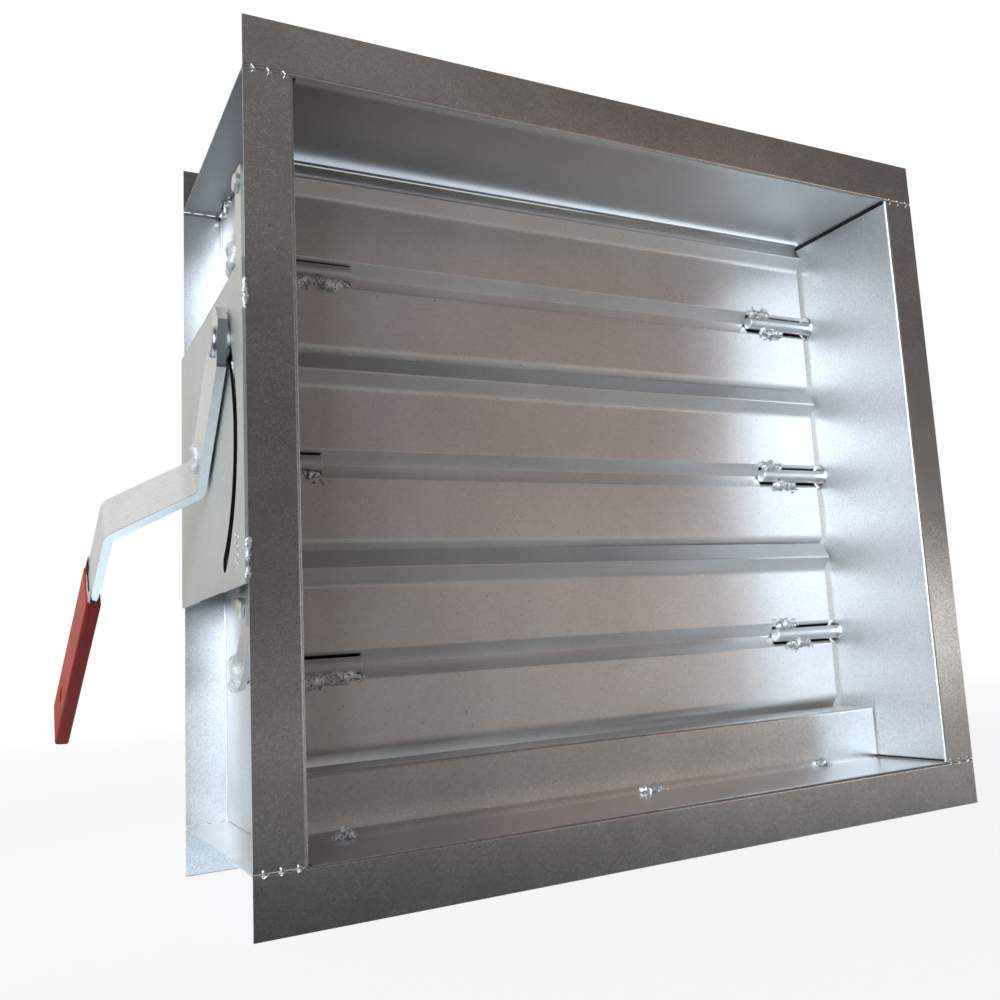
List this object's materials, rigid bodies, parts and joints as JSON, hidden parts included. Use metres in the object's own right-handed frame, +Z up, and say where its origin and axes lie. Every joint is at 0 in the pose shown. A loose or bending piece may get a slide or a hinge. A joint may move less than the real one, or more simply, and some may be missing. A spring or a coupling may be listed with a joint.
{
  "type": "volume control damper",
  "caption": "Rectangular duct damper: folded sheet casing, parallel blades on stub axles, crank and tie bar linkage, joggled hand lever with a slotted locking plate.",
  "frame": {"origin": "centre of the duct opening at half the casing's depth", "axes": "+Y along the duct from the front face to the rear, +Z up, +X to the right seen from the front; the hand lever is on the -X side"},
  "size_m": [0.681, 0.3491, 0.574],
  "materials": {
    "casing_sheet": "galvanised sheet, satin",
    "blade_sheet": "galvanised sheet, satin",
    "plate_sheet": "galvanised sheet, pale",
    "bar_steel": "zinc coated flat bar",
    "axle_steel": "bright drawn rod",
    "fastener_zinc": "zinc plated",
    "weld_metal": "rough weld bead with silver paint",
    "bush_plastic": "pale nylon",
    "grip_red": "dipped vinyl, satin red"
  },
  "bodies": {
    "casing": {"channel_top": "casing_sheet", "channel_bottom": "casing_sheet", "channel_left": "casing_sheet", "channel_right": "casing_sheet", "bottom_stop": "casing_sheet", "corner_welds": "weld_metal", "stop_welds": "weld_metal", "plate_welds": "weld_metal", "quadrant_plate": "plate_sheet", "bush_left_top": "bush_plastic", "bush_left_middle": "bush_plastic", "bush_left_bottom": "bush_plastic", "bush_right_top": "bush_plastic", "bush_right_middle": "bush_plastic", "bush_right_bottom": "bush_plastic"},
    "drive_blade": {"blade_middle": "blade_sheet", "blade_welds_middle": "weld_metal", "axle_left_middle": "axle_steel", "axle_right_middle": "axle_steel", "crank_middle": "bar_steel", "link_pin_middle": "axle_steel", "lever": "bar_steel", "lever_weld": "weld_metal", "grip": "grip_red", "lock_bolt": "fastener_zinc", "washer_inner": "fastener_zinc", "washer_outer": "fastener_zinc", "lock_nut": "fastener_zinc"},
    "top_blade": {"blade_top": "blade_sheet", "blade_welds_top": "weld_metal", "axle_left_top": "axle_steel", "axle_right_top": "axle_steel", "crank_top": "bar_steel", "crank_weld_top": "weld_metal", "link_pin_top": "axle_steel"},
    "bottom_blade": {"blade_bottom": "blade_sheet", "blade_welds_bottom": "weld_metal", "axle_left_bottom": "axle_steel", "axle_right_bottom": "axle_steel", "crank_bottom": "bar_steel", "crank_weld_bottom": "weld_metal", "link_pin_bottom": "axle_steel"},
    "tie_bar": {"tie_bar": "bar_steel"}
  },
  "joints": [
    {"name": "lever_swing", "type": "hinge", "parent": "casing", "child": "drive_blade", "pos_m": [0, 0, 0.0147], "axis": [1, 0, 0], "range_deg": [0, 90]},
    {"name": "top_blade_swing", "type": "hinge", "parent": "casing", "child": "top_blade", "pos_m": [0, 0, 0.1647], "axis": [1, 0, 0], "range_deg": [0, 90]},
    {"name": "bottom_blade_swing", "type": "hinge", "parent": "casing", "child": "bottom_blade", "pos_m": [0, 0, -0.1353], "axis": [1, 0, 0], "range_deg": [0, 90]},
    {"name": "tie_bar_swing", "type": "hinge", "parent": "drive_blade", "child": "tie_bar", "pos_m": [-0.283, -0.04243, 0.05713], "axis": [1, 0, 0], "range_deg": [-90, 0]}
  ],
  "couplings": [
    {"joint": "top_blade_swing", "follows": "lever_swing", "ratio": 1},
    {"joint": "bottom_blade_swing", "follows": "lever_swing", "ratio": 1},
    {"joint": "tie_bar_swing", "follows": "lever_swing", "ratio": -1}
  ]
}
